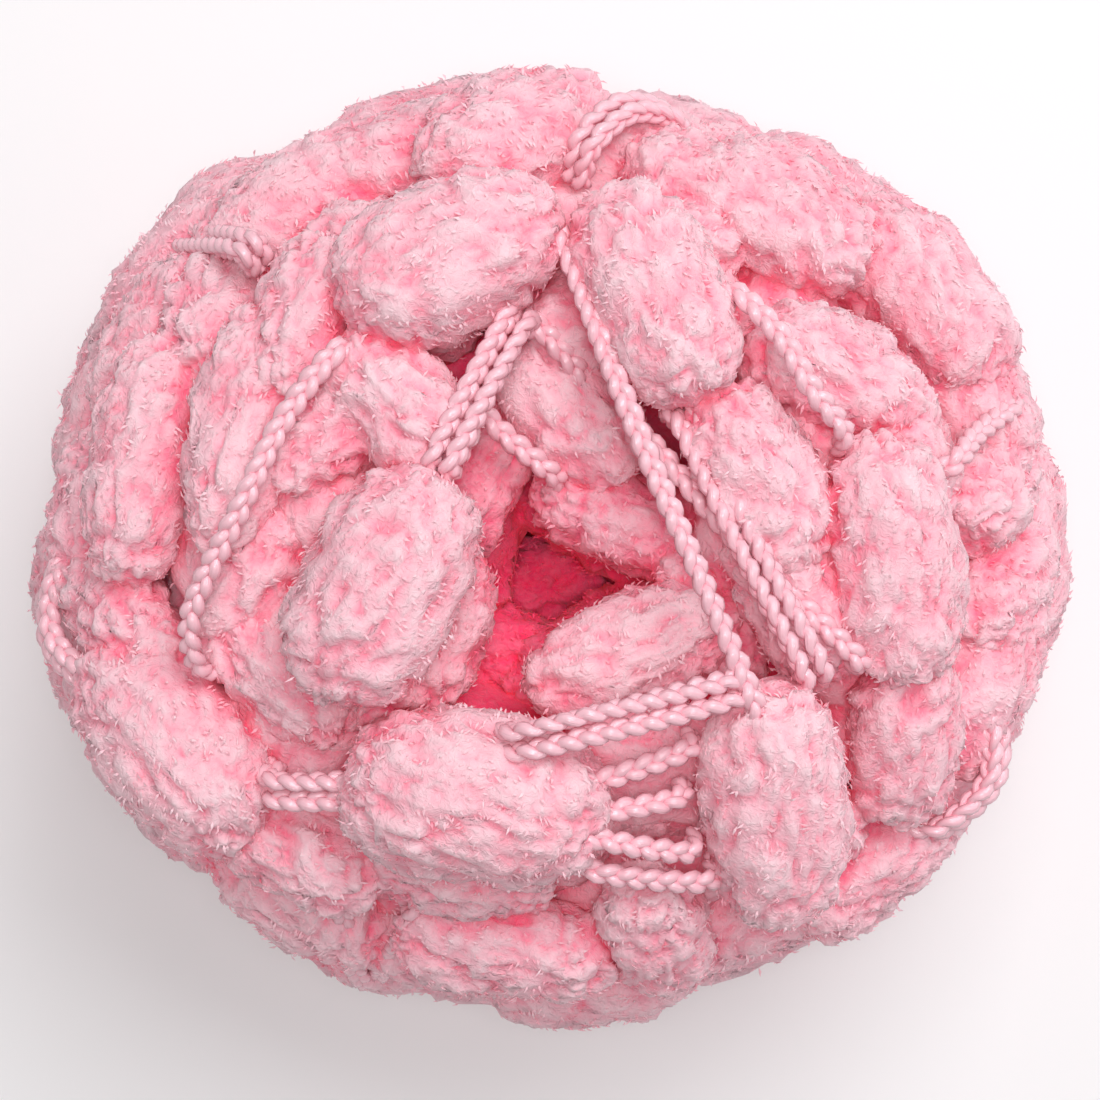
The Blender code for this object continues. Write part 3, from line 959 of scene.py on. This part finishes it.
# Painted shade: each lock takes the shade of the place it stands on, with a little random tone,
# and is darker at its root and paler at its tip.
pale = shade(room, outerness(places), tuft) + rng.normal(0, SHADE_SCATTER, len(places))
painted_shade = np.repeat(pale[:, None] + LOCK_SHADES, (1, 3, 1), axis=1)
order = np.argsort(places[:, 2], kind="stable")
for i, part in enumerate(np.array_split(order, PILE_PIECES)):
    tubes_object(f"pile_{i + 1}", [(corners[part], painted_shade[part])], 3, lock_material, smooth=False)

# %% [markdown]
# ## Plaited cords
#
# Between the pompoms the yarn is a flat three-strand plait, up to 3 mm wide, whose strands bulge
# like beads. A plait is exact as a formula: each strand swings across the cord once a period,
# and in and out twice, a third of a period after its neighbour. Three curves with a bevel would
# do too, but the formula also swells each strand where it shows. The strands follow the routes
# of the solid's cords. A stretched cord turns on its route, so the plait sways between its flat
# and its narrow side. Two that run together are pressed on their narrow sides, which brings them
# closer than the solid's round cords.

# %% Routes of the cords
STRAND_SPACING = 2.2
LINKED_EVERY = 2
LINK_SHORTEST = 14.0
LINK_LONGEST = 30.0
LINK_LIFT = 6.8
LINK_STOPS = np.array([[0.3], [0.7]])
TUCK = 4.0
DIVE_AHEAD = 1.6
DIVE_DOWN = 4.5
SINGLE_TILT = 0.4
DOUBLED_TILT = 1.35
SWAY = 0.45
SWAY_LENGTH = 7.0


def onto_seat(points):
    """Points moved straight out or in to the seat."""
    return points / seat_share(points)[..., None]


def strand_routes(cord):
    """Points of each strand of a cord, the strands side by side."""
    east, north, lift = np.array(cord.route, float).T
    points = seat_point(east, north)
    points = points + lift[:, None] * seat_normal(points)
    run = points[-1] - points[0]
    side = unit(np.cross(run, seat_normal(onto_seat(points[0]))))
    for i in range(cord.strands):
        yield points + (i - (cord.strands - 1) / 2) * STRAND_SPACING * side


def linking_routes(pile):
    """Cord from the end of a pompom, over what lies between, to the nearest free start."""
    reach = (pile.half[:, :1] - TUCK) * pile.axes[:, 0]
    ends = pile.centre + reach
    starts = pile.centre - reach
    free = np.ones(len(ends), bool)
    for i in range(0, len(ends), LINKED_EVERY):
        span = np.linalg.norm(starts - ends[i], axis=1)
        near = free & (span > LINK_SHORTEST) & (span < LINK_LONGEST)
        near[i] = False
        if near.any():
            j = np.argmin(np.where(near, span, np.inf))
            free[j] = False
            over = onto_seat(ends[i] + LINK_STOPS * (starts[j] - ends[i]))
            yield np.stack([ends[i], *(over + LINK_LIFT * seat_normal(over)), starts[j]])


def tucked(route):
    """A route with both ends carried on and down into the pile that hides them."""
    normals = seat_normal(onto_seat(route))
    start = route[0] + DIVE_AHEAD * unit(route[0] - route[1]) - DIVE_DOWN * normals[0]
    end = route[-1] + DIVE_AHEAD * unit(route[-1] - route[-2]) - DIVE_DOWN * normals[-1]
    return np.stack([start, *route, end])


routes = [
    (tucked(route), DOUBLED_TILT if cord.strands > 1 else SINGLE_TILT)
    for cord in CORDS
    for route in strand_routes(cord)
]
routes += [(route, SINGLE_TILT) for route in linking_routes(spiral)]
print("cord runs", len(routes))

# %% Plaited strands
PLAIT_PERIOD = 6.8
PLAIT_SWING = 0.68
PLAIT_DIP = 0.42
STRAND_RADIUS = 0.63
THINNEST = 0.78
BULGE = 0.46
BULGE_SHIFT = 0.45
CORD_SHADE = 0.35
NEXT_CORD_TURN = 0.37
NEXT_CORD_SWAY = 5
CURVE_STEPS = 60
STEPS_PER_PERIOD = 14
FEWEST_STEPS = 12
STRAND_SIDES = 6


def smooth_route(stops):
    """A curve through the stops, by cubic pieces whose slopes span the neighbours.

    It gives evenly spaced points, how far along each is, and its place among the stops.
    """
    before = np.concatenate([[2 * stops[0] - stops[1]], stops, [2 * stops[-1] - stops[-2]]])
    slopes = (before[2:] - before[:-2]) / 2
    t = np.linspace(0, len(stops) - 1, CURVE_STEPS * (len(stops) - 1) + 1)
    i = np.minimum(t.astype(int), len(stops) - 2)
    s = (t - i)[:, None]
    curve = (
        (2 * s**3 - 3 * s**2 + 1) * stops[i]
        + (s**3 - 2 * s**2 + s) * slopes[i]
        + (3 * s**2 - 2 * s**3) * stops[i + 1]
        + (s**3 - s**2) * slopes[i + 1]
    )
    walked = np.concatenate([[0], np.cumsum(np.linalg.norm(np.diff(curve, axis=0), axis=1))])
    count = max(FEWEST_STEPS, round(walked[-1] / PLAIT_PERIOD * STEPS_PER_PERIOD))
    even = np.linspace(0, walked[-1], count)
    return blended(even, walked, curve), even, np.interp(even, walked, t)


def blended(at, known, values):
    """Rows of values, known at some places, blended to other places."""
    return np.stack([np.interp(at, known, column) for column in values.T], axis=1)


def sideways(stops, place):
    """Directions across a cord, from the line of its stops without the dives at its ends."""
    line = np.gradient(stops, axis=0)
    line[[0, -1]] = line[[1, -2]]
    across = unit(np.cross(line, seat_normal(onto_seat(stops))))
    return blended(place, np.arange(len(stops)), across)


def plait(stops, edgewise, first):
    """The three strands of a plait along a route, each as a tube's corners and numbers of painted
    shade.

    The flat plait is turned about its route by the angle edgewise and sways about that. The
    number first says where in its period it starts, so that no two cords are alike.
    """
    curve, walked, place = smooth_route(stops)
    ahead = unit(np.gradient(curve, axis=0))
    level = unit(flattened(sideways(stops, place), ahead))
    sway = SWAY * np.sin(walked / SWAY_LENGTH + NEXT_CORD_SWAY * first)
    tilt = (edgewise + sway)[:, None]
    side = np.cos(tilt) * level + np.sin(tilt) * np.cross(level, ahead)
    above = np.cross(side, ahead)
    for k in range(3):
        turn = 2 * math.pi * (walked / PLAIT_PERIOD + first + k / 3)[:, None]
        swing = PLAIT_SWING * np.sin(turn)
        dip = PLAIT_DIP * np.sin(2 * turn)
        strand = curve + swing * side + dip * above
        onward = unit(np.gradient(strand, axis=0))
        out = unit(np.cross(side, onward))
        wide = np.cross(onward, out)
        angle = (np.arange(STRAND_SIDES) * 2 * math.pi / STRAND_SIDES)[:, None]
        spokes = np.cos(angle) * wide[:, None] + np.sin(angle) * out[:, None]
        plump = STRAND_RADIUS * (THINNEST + BULGE * np.sin(turn + BULGE_SHIFT) ** 2)[:, None]
        rings = strand[:, None] + plump * spokes
        # Painted shade: corners near the middle of the cord, in the creases between strands, get a
        # lower number and a deeper rose.
        outer = np.linalg.norm(rings - curve[:, None], axis=-1) - CORD_SHADE
        corners = with_poles(strand[:1], rings[None], strand[-1:])
        yield corners, np.concatenate([[0], outer.ravel(), [0]])[None]


strands = [
    strand
    for i, (stops, edgewise) in enumerate(routes)
    for strand in plait(stops, edgewise, NEXT_CORD_TURN * i)
]
tubes_object("cords", strands, STRAND_SIDES, cord_material)
